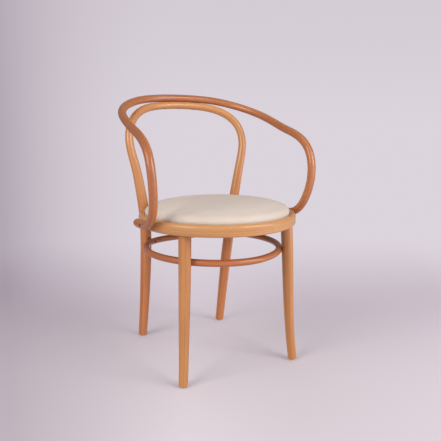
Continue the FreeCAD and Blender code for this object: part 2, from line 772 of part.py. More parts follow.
def glides():
    """Nylon discs under the four feet and the nails moulded into them, with the nails' holes."""
    front, rear = front_foot(), V(REAR_FOOT_X, REAR_FOOT_Y, 0)
    discs, nails, holes = [], [], []
    for foot in (front, rear, mirrored(front), mirrored(rear)):
        nail = rod(foot + UP * (GLIDE_HEIGHT / 2), UP, NAIL_HEAD_D / 2, NAIL_HEAD_HEIGHT)
        nail = nail.fuse(rod(foot + UP * (GLIDE_HEIGHT / 2), UP, NAIL_D / 2, NAIL_LENGTH))
        base = rod(foot, UP, GLIDE_D / 2, GLIDE_HEIGHT)
        discs.append(base.makeFillet(GLIDE_HEIGHT / 4, level_edges(base, 0)).cut(nail))
        nails.append(nail)
        depth = GLIDE_HEIGHT / 2 + NAIL_LENGTH + BORE_PLAY
        holes.append(rod(foot, UP, NAIL_D / 2 + BORE_PLAY, depth))
    return Part.makeCompound(discs), Part.makeCompound(nails), Part.makeCompound(holes)


def build_chair():
    """Every node of the chair, with each joint cut into both of its pieces."""
    ring, hoop, rail = make_seat_ring(), make_back_hoop(), make_arm_rail()
    front_leg, stretcher = make_front_leg(), make_stretcher_ring()
    board, foam, cover = make_seat_pad()
    lining = make_lining()
    glide_discs, glide_nails, nail_holes = glides()
    nodes = {}

    # Rear leg joints: pocket in the ring, notch in the leg, bolt through both
    bolt, washer, insert, ring_hole, leg_hole = rear_bolt()
    ring = ring.cut(both_sides(rear_leg_pocket())).cut(both_sides(ring_hole))
    hoop = hoop.cut(both_sides(rear_leg_notch())).cut(both_sides(leg_hole))

    # Front leg joints: mortise and the screw that locks the tenon
    mortise = rod(front_leg_head(), UP, TENON_D / 2 + FIT, TENON_LENGTH + FIT)
    tenon_screw, hole = sunk_screw(*front_tenon_joint(), TENON_SCREW_LENGTH)
    ring = ring.cut(both_sides(mortise)).cut(both_sides(hole))
    front_leg = front_leg.cut(hole)

    # Stretcher: the legs are let in to its round, and a screw enters each leg from inside
    housing = make_stretcher_ring(TOUCH)
    hoop, front_leg = hoop.cut(housing), front_leg.cut(housing)
    stretcher_screws = []
    for start, heading in stretcher_joints():
        screw, hole = sunk_screw(start, heading, STRETCHER_SCREW_LENGTH)
        stretcher_screws.append(screw)
        stretcher = stretcher.cut(both_sides(hole))
        hoop, front_leg = hoop.cut(both_sides(hole)), front_leg.cut(hole)

    # Crest: screws rise through the hoop into the rail
    crest_screws = []
    starts, heading = crest_joints()
    for start in starts:
        screw, hole = sunk_screw(start, heading, CREST_SCREW_LENGTH)
        crest_screws.append(screw)
        hoop, rail = hoop.cut(hole), rail.cut(hole)

    # Tails: one screw from outside through each into the ring
    tail_screw, hole = sunk_screw(*tail_joint(), TAIL_SCREW_LENGTH)
    rail, ring = rail.cut(both_sides(hole)), ring.cut(both_sides(hole))

    # Seat pad: staples from below, and four screws up through the ring's lip
    fixed = staples()
    board, cover, lining = board.cut(fixed), cover.cut(fixed), lining.cut(fixed)
    seat_screws, seat_washers = [], []
    for spot in seat_screw_spots():
        under = spot - UP * WASHER_THICKNESS
        seat_screws.append(aimed(pan_screw(SEAT_SCREW_LENGTH), under, UP))
        hole = aimed(pan_screw(SEAT_SCREW_LENGTH, BORE_PLAY), under, UP)
        flat = rod(under, UP, WASHER_D / 2, WASHER_THICKNESS)
        seat_washers.append(flat.cut(hole))
        ring, cover, board = ring.cut(hole), cover.cut(hole), board.cut(hole)

    # Feet
    hoop, front_leg = hoop.cut(nail_holes), front_leg.cut(nail_holes)

    nodes["seat_ring"] = ring
    nodes["back_hoop"] = hoop
    nodes["arm_rail"] = rail
    nodes["front_leg_right"] = front_leg
    nodes["front_leg_left"] = front_leg.mirror(V(0, 0, 0), V(1, 0, 0))
    nodes["stretcher_ring"] = stretcher
    nodes["seat_board"] = board
    nodes["seat_foam"] = foam
    nodes["seat_cover"] = cover
    nodes["seat_lining"] = lining
    nodes["cover_staples"] = fixed
    nodes["seat_screws"] = Part.makeCompound(seat_screws)
    nodes["seat_washers"] = Part.makeCompound(seat_washers)
    nodes["rear_leg_bolts"] = both_sides(bolt)
    nodes["rear_leg_washers"] = both_sides(washer)
    nodes["rear_leg_inserts"] = both_sides(insert)
    nodes["tenon_screws"] = both_sides(tenon_screw)
    nodes["stretcher_screws"] = both_sides(Part.makeCompound(stretcher_screws))
    nodes["crest_screws"] = Part.makeCompound(crest_screws)
    nodes["arm_end_screws"] = both_sides(tail_screw)
    nodes["foot_glides"] = glide_discs
    nodes["glide_nails"] = glide_nails
    return nodes


os.makedirs("parts", exist_ok=True)
for name, shape in build_chair().items():
    shape.translate(V(0, -PLAN_SHIFT, 0))
    shape.exportStep("parts/" + name + ".step")
    box = shape.BoundBox
    print(name, len(shape.Solids), "solids", round(shape.Volume / 1000, 2), "cm3",
          [round(v, 1) for v in (box.XMin, box.YMin, box.ZMin, box.XMax, box.YMax, box.ZMax)])
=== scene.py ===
import math

import bmesh
import bpy
import numpy as np
from mathutils import Matrix


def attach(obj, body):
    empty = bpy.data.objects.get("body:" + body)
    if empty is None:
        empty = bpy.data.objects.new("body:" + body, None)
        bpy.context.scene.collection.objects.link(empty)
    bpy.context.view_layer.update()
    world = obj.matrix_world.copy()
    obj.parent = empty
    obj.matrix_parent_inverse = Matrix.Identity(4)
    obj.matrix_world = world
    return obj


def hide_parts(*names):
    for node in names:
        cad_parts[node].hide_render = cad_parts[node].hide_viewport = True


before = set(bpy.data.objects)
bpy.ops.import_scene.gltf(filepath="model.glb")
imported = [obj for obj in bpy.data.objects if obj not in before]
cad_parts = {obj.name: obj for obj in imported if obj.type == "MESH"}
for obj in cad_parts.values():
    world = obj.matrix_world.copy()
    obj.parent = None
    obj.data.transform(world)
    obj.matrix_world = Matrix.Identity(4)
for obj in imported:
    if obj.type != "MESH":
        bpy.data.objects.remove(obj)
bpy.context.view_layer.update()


# Seat ring: one beech bar, steamed, bent to a closed ring and joined end to end in a long glued
# scarf, then rebated for the pad and lacquered. It holds the whole chair together.

RING_RADIUS = 0.2005         # middle of the bar, from the seat's upright axis
SEAT_AXIS_Y = -0.02885
RING_MIDDLE_Z = 0.4137
RING_SCARF_TURN = 118.0      # the scarf lies opposite this angle from the X axis, in degrees
RING_SCARF_SLOPE = 3.0       # and runs this much along the bar for 1 across


def placed(name, data):
    """A new object in the scene with this mesh, lamp or camera."""
    thing = bpy.data.objects.new(name, data)
    bpy.context.scene.collection.objects.link(thing)
    return thing


def joined_copy(node, name):
    """A CAD node's own shape with its loose triangles joined. It is shaded smooth, apart from the
    edges where it turns by over 32 degrees, and its flat faces are shaded flat."""
    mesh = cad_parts[node].data.copy()
    mesh.name = name
    mesh.materials.clear()
    build = bmesh.new()
    build.from_mesh(mesh)
    bmesh.ops.remove_doubles(build, verts=build.verts, dist=2e-6)
    build.to_mesh(mesh)
    build.free()
    mesh.shade_smooth()
    mesh.set_sharp_from_angle(angle=math.radians(32))
    piece = placed(name, mesh)
    facing = piece.modifiers.new("flat faces stay flat", "WEIGHTED_NORMAL")
    facing.keep_sharp = True
    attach(piece, "root")
    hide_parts(node)
    return piece


def linear(hex_colour):
    """An sRGB colour such as "#c89664" as the linear values that a shader takes."""
    parts = [int(hex_colour[k:k + 2], 16) / 255 for k in (1, 3, 5)]
    return [c / 12.92 if c <= 0.04045 else ((c + 0.055) / 1.055) ** 2.4 for c in parts] + [1.0]


def feed(node, inputs):
    """Fills a shader node's inputs, each given by its number, or by its name among those that are
    in use. It is filled from a socket, from the first output in use of another node, with an sRGB
    colour such as "#c89664" or with a plain value."""
    for key, value in inputs.items():
        if isinstance(key, str):
            socket = next(choice for choice in node.inputs if choice.enabled and choice.name == key)
        else:
            socket = node.inputs[key]
        if isinstance(value, bpy.types.Node):
            value = next(output for output in value.outputs if output.enabled)
        if isinstance(value, bpy.types.NodeSocket):
            node.id_data.links.new(value, socket)
        else:
            socket.default_value = linear(value) if isinstance(value, str) else value


def add(tree, kind, inputs=None, **settings):
    """A new node with its settings, and with its inputs filled."""
    node = tree.nodes.new(kind)
    for key, value in settings.items():
        setattr(node, key, value)
    feed(node, inputs or {})
    return node


def new_material(name):
    """An empty material with its tree and its surface shader already joined to the output."""
    material = bpy.data.materials.new(name)
    material.use_nodes = True
    tree = material.node_tree
    tree.nodes.clear()
    shader = add(tree, "ShaderNodeBsdfPrincipled")
    add(tree, "ShaderNodeOutputMaterial", {"Surface": shader})
    return material, tree, shader


def ring_coordinates(tree, radius, axis_y, middle_z, scarf_turn, scarf_slope, laid=False):
    """Length along a bent ring, offset outwards and height, with the scarf where the length wraps.
    The length is the radius times the angle about the ring's axis, and it slips by the slope times
    the outward offset, so that the joint crosses the bar on a slant. In a ring that isn't quite
    round, both offsets are the ones laid on its vertices. The joint's glue line shows as far as
    0.18 mm from the place where the length wraps."""
    place = add(tree, "ShaderNodeTexCoord").outputs["Object"]
    shifted = add(tree, "ShaderNodeVectorMath", {0: place, 1: (0.0, axis_y, middle_z)},
                  operation="SUBTRACT")
    turned = add(tree, "ShaderNodeMapping", {"Vector": shifted,
                                             "Rotation": (0.0, 0.0, -math.radians(scarf_turn))})
    split = add(tree, "ShaderNodeSeparateXYZ", {0: turned})
    if laid:
        offsets = add(tree, "ShaderNodeAttribute", attribute_name="grain").outputs["Vector"]
        offsets = add(tree, "ShaderNodeSeparateXYZ", {0: offsets})
        outward, height = offsets.outputs["Y"], offsets.outputs["Z"]
    else:
        flat = add(tree, "ShaderNodeCombineXYZ", {"X": split.outputs["X"], "Y": split.outputs["Y"]})
        reach = add(tree, "ShaderNodeVectorMath", {0: flat}, operation="LENGTH").outputs["Value"]
        outward = add(tree, "ShaderNodeMath", {0: reach, 1: radius}, operation="SUBTRACT")
        height = split.outputs["Z"]
    turn = add(tree, "ShaderNodeMath", {0: split.outputs["Y"], 1: split.outputs["X"]},
               operation="ARCTAN2")
    slip = add(tree, "ShaderNodeMath", {0: outward, 1: scarf_slope / radius, 2: turn},
               operation="MULTIPLY_ADD")
    turn = add(tree, "ShaderNodeMath", {0: slip, 1: math.pi, 2: -math.pi}, operation="WRAP")
    along = add(tree, "ShaderNodeMath", {0: turn, 1: radius}, operation="MULTIPLY")
    grain = add(tree, "ShaderNodeCombineXYZ", {"X": along, "Y": outward, "Z": height})
    length = add(tree, "ShaderNodeMath", {0: along}, operation="ABSOLUTE")
    left = add(tree, "ShaderNodeMath", {0: math.pi * radius, 1: length}, operation="SUBTRACT")
    glue_line = add(tree, "ShaderNodeMath", {0: left, 1: 0.00018}, operation="LESS_THAN")
    return grain.outputs[0], glue_line


def beech(name, pale, deep, fleck, ring=None, shade_below_seat=None, top_shade=0.0):
    """Steamed beech under a clear satin lacquer. Growth bands 3 mm and 11 mm wide run lengthwise
    with pore lines among them, small brown ray flecks up to 3 mm long lie on the surface, and the
    tone drifts slowly along the piece. The real pore lines are too fine to show, so they are drawn
    0.55 mm wide. Where a second pair of colours is given, the wood turns to it from the seat down:
    a deeper, redder painted shade for the shade under the seat. The last amount is how much darker
    the side that the grain's upright offset points to is painted: painted shade on the rod's top.
    The lacquer gives a clear soft highlight over the wood's own dull one."""
    material, tree, shader = new_material(name)
    if ring:
        grain, glue_line = ring_coordinates(tree, *ring)
    else:
        grain = add(tree, "ShaderNodeAttribute", attribute_name="grain").outputs["Vector"]

    def streaks(along, across, low, high, detail=2.0):
        """Noise drawn out along the grain, with its size in metres along and across, spread from
        0 at its low level to 1 at its high one."""
        scaled = add(tree, "ShaderNodeVectorMath",
                     {0: grain, 1: (1 / along, 1 / across, 1 / across)}, operation="MULTIPLY")
        noise = add(tree, "ShaderNodeTexNoise", {"Vector": scaled, "Scale": 1.0, "Detail": detail,
                                                 "Roughness": 0.55})
        return add(tree, "ShaderNodeMapRange", {"Value": noise, "From Min": low, "From Max": high})

    pores = streaks(0.016, 0.00055, 0.3, 0.7, 3.0)
    narrow_bands = streaks(0.35, 0.0031, 0.36, 0.64)
    wide_bands = streaks(0.60, 0.011, 0.38, 0.62)
    drift = streaks(0.30, 0.03, 0.3, 0.7, 1.0)
    tone = 0.0
    for share, layer in ((0.34, narrow_bands), (0.30, wide_bands), (0.20, drift), (0.16, pores)):
        tone = add(tree, "ShaderNodeMath", {0: layer, 1: share, 2: tone},
                   operation="MULTIPLY_ADD", use_clamp=True)
    # Painted shade: the side that the grain's upright offset points to, the top of the rod, is
    # darkened.
    if top_shade:
        outer = add(tree, "ShaderNodeSeparateXYZ", {0: grain}).outputs["Z"]
        painted_top_shade = add(tree, "ShaderNodeMapRange", {"Value": outer, "From Min": -0.003,
                                                      "From Max": 0.009, "To Max": top_shade},
                         interpolation_type="SMOOTHSTEP")
        tone = add(tree, "ShaderNodeMath", {0: tone, 1: painted_top_shade}, operation="SUBTRACT",
                   use_clamp=True)
    colour = add(tree, "ShaderNodeMix", {"Factor": tone, "A": deep, "B": pale}, data_type="RGBA")
    # Painted shade: from the seat down the wood turns to a deeper, redder pair of colours, for the
    # shade under the seat.
    if shade_below_seat:
        place = add(tree, "ShaderNodeTexCoord").outputs["Object"]
        height = add(tree, "ShaderNodeSeparateXYZ", {0: place}).outputs["Z"]
        painted_shade_share = add(tree, "ShaderNodeMapRange", {"Value": height, "From Min": 0.50,
                                                   "From Max": 0.40})
        shaded_pale, shaded_deep = shade_below_seat
        shaded_colour = add(tree, "ShaderNodeMix", {"Factor": tone, "A": shaded_deep, "B": shaded_pale},
                         data_type="RGBA")
        colour = add(tree, "ShaderNodeMix", {"Factor": painted_shade_share, "A": colour, "B": shaded_colour},
                     data_type="RGBA")
    flecks_at = add(tree, "ShaderNodeVectorMath", {0: grain, 1: (260.0, 1150.0, 1150.0)},
                    operation="MULTIPLY")
    flecks = add(tree, "ShaderNodeTexVoronoi", {"Vector": flecks_at, "Scale": 1.0})
    flecks = add(tree, "ShaderNodeMapRange", {"Value": flecks, "From Min": 0.12, "From Max": 0.34,
                                              "To Min": 0.55, "To Max": 0.0})
    colour = add(tree, "ShaderNodeMix", {"Factor": flecks, "A": colour, "B": fleck},
                 data_type="RGBA")
    if ring:
        colour = add(tree, "ShaderNodeMix", {"Factor": glue_line, "A": colour, "B": "#6b3f22"},
                     data_type="RGBA")
    rough = add(tree, "ShaderNodeMapRange", {"Value": pores, "To Min": 0.50, "To Max": 0.60})
    relief = add(tree, "ShaderNodeBump", {"Strength": 0.05, "Distance": 0.0002, "Height": pores})
    feed(shader, {"Base Color": colour, "Roughness": rough, "Normal": relief, "IOR": 1.45,
                  "Coat Weight": 0.8, "Coat Roughness": 0.24, "Coat IOR": 1.5})
    return material


seat_ring = joined_copy("seat_ring", "seat_ring_bent_beech")
seat_ring.data.materials.append(
    beech("beech bar, golden, satin lacquer", "#d29c61", "#b2773f", "#85491f",
          ring=(RING_RADIUS, SEAT_AXIS_Y, RING_MIDDLE_Z, RING_SCARF_TURN, RING_SCARF_SLOPE)))


# Front legs: the only turned pieces, of the same golden beech as the ring. Each tapers to its foot,
# is bent a little outwards below the knee, and stands in the ring on a tenon.

FRONT_LEG_LINE = (           # the leg's axis from the ring down to the floor
    (0.1554, -0.1458, 0.3984),
    (0.1580, -0.1491, 0.3267),
    (0.1619, -0.1521, 0.2112),
    (0.1666, -0.1561, 0.1036),
    (0.1698, -0.1596, 0.0518),
    (0.1740, -0.1645, 0.0000),
)


def smooth_line(points, pitch=0.002):
    """A natural cubic spline through the points, with chord length as its parameter: even places
    along it, the unit direction at each, and each one's distance from the start. The spline's
    bending at the points solves one set of equations, in which neighbouring spans meet without a
    kink and the ends run out straight."""
    knots = np.array(points, float)
    spans = np.linalg.norm(np.diff(knots, axis=0), axis=1)
    start = np.concatenate(([0.0], np.cumsum(spans)))
    count = len(knots)
    system = np.eye(count)
    right = np.zeros((count, 3))
    inner = np.arange(1, count - 1)
    system[inner, inner - 1] = spans[:-1]
    system[inner, inner] = 2 * (spans[:-1] + spans[1:])
    system[inner, inner + 1] = spans[1:]
    slopes = np.diff(knots, axis=0) / spans[:, None]
    right[inner] = 6 * np.diff(slopes, axis=0)
    bend = np.linalg.solve(system, right)
    at = np.linspace(0.0, start[-1], int(start[-1] / pitch) + 2)
    span = np.clip(np.searchsorted(start, at, side="right") - 1, 0, count - 2)
    width = spans[span][:, None]
    after = (at - start[span])[:, None]
    before = width - after
    places = ((bend[span] * before ** 3 + bend[span + 1] * after ** 3) / (6 * width)
              + (knots[span] / width - bend[span] * width / 6) * before
              + (knots[span + 1] / width - bend[span + 1] * width / 6) * after)
    steps = np.linalg.norm(np.diff(places, axis=0), axis=1)
    run = np.concatenate(([0.0], np.cumsum(steps)))
    ahead = np.gradient(places, run, axis=0)
    return places, ahead / np.linalg.norm(ahead, axis=1)[:, None], run


def vertex_places(piece):
    """A row with the place of each vertex."""
    at = np.empty(len(piece.data.vertices) * 3, np.float32)
    piece.data.vertices.foreach_get("co", at)
    return at.reshape(-1, 3)


def shade_round(piece, outward):
    """Shades a round rod evenly and not face by face: each corner of its mesh that faces within 14
    degrees of straight out from the rod's line is turned to exactly that, and the cut faces keep
    their own normals."""
    piece.modifiers.clear()
    mesh = piece.data
    straight = outward / np.maximum(np.linalg.norm(outward, axis=1), 1e-9)[:, None]
    corners = np.empty(len(mesh.loops) * 3, np.float32)
    mesh.corner_normals.foreach_get("vector", corners)
    corners = corners.reshape(-1, 3)
    vertex = np.empty(len(mesh.loops), np.int32)
    mesh.loops.foreach_get("vertex_index", vertex)
    straight = straight[vertex]
    lateral = (corners * straight).sum(1) > math.cos(math.radians(14))
    corners[lateral] = straight[lateral]
    mesh.normals_split_custom_set(corners.tolist())


def lay_grain(piece, line, reference, shift=0.0):
    """Gives each vertex the place that it had in the straight blank, before bending: the distance
    along the piece's line, and the two offsets from it, square to the line and to each other. The
    first offset is square to the reference direction too. The shift moves the piece along the
    pattern, so that no two pieces are alike. The rod is then shaded evenly about its line."""
    places, ahead, run = line
    across = np.cross(ahead, reference)
    across /= np.linalg.norm(across, axis=1)[:, None]
    upright = np.cross(across, ahead)
    at = vertex_places(piece)
    nearest = ((places ** 2).sum(1)[None] - 2 * at @ places.T.astype(np.float32)).argmin(1)
    off = at - places[nearest]
    further = (off * ahead[nearest]).sum(1)
    blank = np.stack((run[nearest] + further + shift, (off * across[nearest]).sum(1),
                      (off * upright[nearest]).sum(1)), axis=1)
    layer = piece.data.attributes.new("grain", "FLOAT_VECTOR", "POINT")
    layer.data.foreach_set("vector", blank.astype(np.float32).ravel())
    shade_round(piece, off - further[:, None] * ahead[nearest])


golden_beech = beech("turned beech, golden, satin lacquer", "#c98a4a", "#a3622c", "#7d431c")
for side, sign, shift in (("right", 1, 0.0), ("left", -1, 3.7)):
    leg = joined_copy("front_leg_" + side, "front_leg_" + side + "_turned_beech")
    lay_grain(leg, smooth_line([(sign * x, y, z) for x, y, z in FRONT_LEG_LINE]),
              (0.0, 1.0, 0.0), shift)
    leg.data.materials.append(golden_beech)


# Back hoop and rear legs: one long beech rod, steamed and bent up from one rear foot, over the back
# and down to the other. It thickens where it passes the ring. From the seat down it is painted a
# deeper, redder colour, as shade under the seat.

HOOP_LINE = (                # the rod's axis from the crown of the back down to the right foot
    (0.0000, 0.2321, 0.7284),
    (0.0709, 0.2247, 0.7249),
    (0.1198, 0.2077, 0.7148),
    (0.1517, 0.1884, 0.6985),
    (0.1724, 0.1732, 0.6777),
    (0.1841, 0.1623, 0.6535),
    (0.1887, 0.1546, 0.6286),
    (0.1879, 0.1491, 0.6044),
    (0.1836, 0.1458, 0.5808),
    (0.1724, 0.1431, 0.5330),
    (0.1630, 0.1441, 0.4820),
    (0.1520, 0.1467, 0.4137),
    (0.1447, 0.1574, 0.3227),
    (0.1422, 0.1710, 0.2482),
    (0.1412, 0.1820, 0.1862),
    (0.1408, 0.1988, 0.0952),
    (0.1413, 0.2182, 0.0000),
)


def both_halves(points):
    """The line of a whole rod, from the line of its right half, which starts in the middle."""
    return [(-x, y, z) for x, y, z in points[:0:-1]] + list(points)


back_hoop = joined_copy("back_hoop", "back_hoop_bent_beech")
lay_grain(back_hoop, smooth_line(both_halves(HOOP_LINE)), (0.0, 1.0, 0.0))
# Golden wood, with a deeper, redder pair below the seat that paints the shade there.
back_hoop.data.materials.append(
    beech("bent beech rod, golden above and rosy below, satin lacquer", "#d59a60", "#b4713d",
          "#763a1c", shade_below_seat=("#d08546", "#aa5a28")))


# Arm rail: a second bent rod, the crest and both arms in one. At the front it bows down and back,
# and its short tails lie along the outside of the ring, each held by one screw.

RAIL_LINE = (                # the rod's axis from the crest to the tip of the right tail
    (0.0000, 0.2372, 0.7503),
    (0.0771, 0.2310, 0.7476),
    (0.1311, 0.2154, 0.7409),
    (0.1671, 0.1937, 0.7315),
    (0.1913, 0.1689, 0.7220),
    (0.2201, 0.1174, 0.7032),
    (0.2316, 0.0644, 0.6847),
    (0.2357, -0.0150, 0.6574),
    (0.2388, -0.0828, 0.6342),
    (0.2401, -0.1259, 0.5995),
    (0.2393, -0.1431, 0.5531),
    (0.2366, -0.1416, 0.5032),
    (0.2327, -0.1252, 0.4585),
    (0.2311, -0.0947, 0.4265),
    (0.2317, -0.0483, 0.4137),
    (0.2325, -0.0253, 0.4137),
    (0.2310, -0.0024, 0.4137),
)
RAIL_HALF_WIDTH = 0.23       # from the middle of the crest to the arms

arm_rail = joined_copy("arm_rail", "arm_rail_bent_beech")
rail_line = smooth_line(both_halves(RAIL_LINE))
# The grain's upright offset points up at the crest and turns over to the outside on the arms.
rail_x = rail_line[0][:, :1]
off_middle = np.clip(np.abs(rail_x) / RAIL_HALF_WIDTH, 0.0, 1.0)
turned_over = np.concatenate((np.sign(rail_x) * off_middle, np.zeros_like(rail_x),
                              1.0 - off_middle), axis=1)
lay_grain(arm_rail, rail_line, turned_over, 1.1)
# The rail's upper side, turning to its outer side on the arms, is painted darker, as shade on its
# top.
arm_rail.data.materials.append(
    beech("bent beech rod, red-brown, satin lacquer", "#ca8049", "#8e4921", "#5e2d14",
          top_shade=0.26))


# Stretcher ring: a round rod bent to a closed ring, not quite round, so that it bears on all four
# legs. It is scarfed like the seat ring, let a little into each leg and screwed to it from inside.

STRETCHER_Z = 0.3235
STRETCHER_LINE = (           # the ring's axis from the front round its right side to the back
    (0.0000, -0.2031),
    (0.0480, -0.1953),
    (0.0931, -0.1737),
    (0.1321, -0.1413),
    (0.1623, -0.1011),
    (0.1821, -0.0555),
    (0.1904, -0.0065),
    (0.1864, 0.0438),
    (0.1694, 0.0917),
    (0.1398, 0.1305),
    (0.0986, 0.1537),
    (0.0499, 0.1631),
    (0.0000, 0.1649),
)

STRETCHER_RADIUS = 0.187     # as a true round, which it nearly is
STRETCHER_AXIS_Y = -0.0191
STRETCHER_SCARF_TURN = 112.0
STRETCHER_SCARF_SLOPE = 5.0

stretcher_ring = joined_copy("stretcher_ring", "stretcher_ring_bent_beech")
stretcher_line = smooth_line(both_halves([(x, y, STRETCHER_Z) for x, y in STRETCHER_LINE]))
lay_grain(stretcher_ring, stretcher_line, (0.0, 0.0, 1.0))
stretcher_ring.data.materials.append(
    beech("bent beech rod in a ring, red-brown, satin lacquer", "#bd6f38", "#954d22", "#6a3416",
          ring=(STRETCHER_RADIUS, STRETCHER_AXIS_Y, STRETCHER_Z, STRETCHER_SCARF_TURN,
                STRETCHER_SCARF_SLOPE, True)))


# Seat pad cover: one piece of smooth cream artificial leather pulled over the foam and turned in
# under the board. It is round, flat in the middle, and domes down softly to the ring's rim.

PAD_RADIUS = 0.2015          # where the pad stands in the rebate
PAD_SIDE = 0.2037            # where it swells a little past the rim
PAD_BASE_Z = 0.419
RIM_Z = 0.429
PAD_WAIST_Z = 0.4295         # where it is widest
PAD_CROWN_Z = 0.4626
EDGE_ROLL = 0.0205           # roundness of its upper edge
BASE_EASE = 0.0006           # and of its lower one
DOME_POWER = 4
COVER_THICKNESS = 0.0012
COVER_TURN = 0.026           # width of cover turned in under the board
COVER_SHRINK = 0.0006        # it is drawn this much smaller all round,
COVER_FILL = 0.0008          # and the filling swells it by this at most


def pad_outline(inset, count=150):
    """Half of the pad's section from the middle of its underside out, up the side and over the
    crown, as (radius, height). It is flat below and upright in the rebate, swells a little to its
    widest just above the rim, and turns over in a round. The dome's height is the crown's less the
    fourth power of the radius, and it meets the round where both have the same slope."""
    low, side = PAD_RADIUS - inset, PAD_SIDE - inset
    roll = EDGE_ROLL - inset
    crown, base = PAD_CROWN_Z - inset, PAD_BASE_Z + inset
    hub = side - roll
    leans = np.linspace(0.02, 1.0, 4000)
    level = (crown - PAD_WAIST_Z - roll * np.cos(leans)
             - np.tan(leans) * (hub + roll * np.sin(leans)) / DOME_POWER)
    lean = leans[np.abs(level).argmin()]
    join = hub + roll * math.sin(lean)
    fall = math.tan(lean) * join / DOME_POWER
    turn = np.linspace(0.0, math.pi / 2 - lean, 40)
    reach = np.linspace(join, 0.0, 80)
    rise = np.linspace(0.0, 1.0, 14)
    parts = [
        np.stack((np.linspace(0.0, low - BASE_EASE, 40), np.full(40, base)), axis=1),
        np.array([(low, base + BASE_EASE), (low, RIM_Z - 0.003)]),
        np.stack((low + (side - low) * np.sin(rise * math.pi / 2),
                  RIM_Z - 0.002 + (PAD_WAIST_Z - RIM_Z + 0.002) * rise), axis=1),
        np.stack((hub + roll * np.cos(turn), PAD_WAIST_Z + roll * np.sin(turn)), axis=1)[1:],
        np.stack((reach, crown - fall * (reach / join) ** DOME_POWER), axis=1)[1:],
    ]
    outline = np.concatenate(parts)
    run = np.concatenate(([0.0], np.cumsum(np.linalg.norm(np.diff(outline, axis=0), axis=1))))
    even = np.linspace(0.0, run[-1], count)
    return np.stack((np.interp(even, run, outline[:, 0]), np.interp(even, run, outline[:, 1])),
                    axis=1)


def smooth_piece(name, points, faces):
    """A new object from points and faces, shaded smooth."""
    mesh = bpy.data.meshes.new(name)
    mesh.from_pydata(points.tolist(), [], faces)
    mesh.shade_smooth()
    return placed(name, mesh)


def turned_surface(name, outline, around=192):
    """A closed surface: the outline swept once round the seat's axis, with one vertex at each of
    its two ends, which lie on the axis."""
    turn = np.linspace(0.0, 2 * math.pi, around, endpoint=False)
    middle = outline[1:-1]
    grid = np.stack((middle[:, None, 0] * np.cos(turn), middle[:, None, 0] * np.sin(turn),
                     np.broadcast_to(middle[:, None, 1], (len(middle), around))), axis=2)
    points = np.concatenate(([[0.0, 0.0, outline[0, 1]]], grid.reshape(-1, 3),
                             [[0.0, 0.0, outline[-1, 1]]]))
    points[:, 1] += SEAT_AXIS_Y
    k = np.arange(around)
    after = (k + 1) % around
    row = 1 + around * np.arange(len(middle) - 1)[:, None]
    quads = np.stack((row + k, row + after, row + around + after, row + around + k), axis=2)
    first = np.stack((np.zeros(around, int), 1 + after, 1 + k), axis=1)
    last_row = 1 + around * (len(middle) - 1)
    last = np.stack((last_row + k, last_row + after, np.full(around, len(points) - 1)), axis=1)
    return smooth_piece(name, points,
                        quads.reshape(-1, 4).tolist() + first.tolist() + last.tolist())


def settled(piece, name):
    """A new object with the mesh that a piece has once its modifiers are worked out."""
    bpy.context.view_layer.update()
    graph = bpy.context.evaluated_depsgraph_get()
    mesh = bpy.data.meshes.new_from_object(piece.evaluated_get(graph), depsgraph=graph)
    mesh.name = name
    mesh.materials.clear()
    return placed(name, mesh)


def inflate(piece, held_below, most, fade=0.012, steps=20):
    """Lets cloth pressure fill the pad for some steps, and moves no point further than the most
    that is given. All that lies below a height is held fast, and the hold fades out above it."""
    start = vertex_places(piece)
    held = piece.vertex_groups.new(name="held")
    weight = np.round(np.clip((held_below + fade - start[:, 2]) / fade, 0.0, 1.0), 2)
    for level in np.unique(weight):
        if level > 0:
            held.add(np.flatnonzero(weight == level).tolist(), float(level), "REPLACE")
    cloth = piece.modifiers.new("filling", "CLOTH")
    cloth.settings.vertex_group_mass = "held"
    cloth.settings.use_pressure = True
    cloth.settings.uniform_pressure_force = 4.0
    cloth.settings.effector_weights.gravity = 0.0
    cloth.settings.tension_stiffness = 30.0
    cloth.settings.compression_stiffness = 30.0
    cloth.settings.bending_stiffness = 2.0
    cloth.point_cache.frame_start, cloth.point_cache.frame_end = 1, steps
    for step in range(1, steps + 1):
        bpy.context.scene.frame_set(step)
    swollen = settled(piece, piece.name + "_swollen")
    bpy.context.scene.frame_set(1)
    moved = vertex_places(swollen) - start
    length = np.linalg.norm(moved, axis=1, keepdims=True)
    at = start + moved * np.minimum(1.0, most / np.maximum(length, 1e-9))
    swollen.data.vertices.foreach_set("co", at.astype(np.float32).ravel())
    swollen.data.update()
    return swollen


form = turned_surface("pad_form", pad_outline(COVER_SHRINK))
drawn = turned_surface("pad_drawn", pad_outline(COVER_SHRINK))
evened = drawn.modifiers.new("even cloth", "REMESH")
evened.mode, evened.voxel_size = "VOXEL", 0.005
onto = drawn.modifiers.new("on the form", "SHRINKWRAP")
onto.target, onto.wrap_method = form, "NEAREST_SURFACEPOINT"
even_pad = settled(drawn, "pad_even")
filled = inflate(even_pad, RIM_Z + 0.004, COVER_FILL)
cut = bmesh.new()
cut.from_mesh(filled.data)
under = []
for face in cut.faces:
    x, y, z = face.calc_center_median()
    if z < PAD_BASE_Z + 0.002 and math.hypot(x, y - SEAT_AXIS_Y) < PAD_RADIUS - COVER_TURN:
        under.append(face)
bmesh.ops.delete(cut, geom=under, context="FACES")
seat_cover_mesh = bpy.data.meshes.new("seat_cover_leather")
cut.to_mesh(seat_cover_mesh)
cut.free()
seat_cover_mesh.shade_smooth()
seat_cover = placed("seat_cover_leather", seat_cover_mesh)
for spare in {form, drawn, even_pad, filled}:
    bpy.data.objects.remove(spare)
skin = seat_cover.modifiers.new("leather thickness", "SOLIDIFY")
skin.thickness, skin.offset = COVER_THICKNESS, -1.0
finer = seat_cover.modifiers.new("smooth curves", "SUBSURF")
finer.levels = finer.render_levels = 1
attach(seat_cover, "root")
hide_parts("seat_cover")
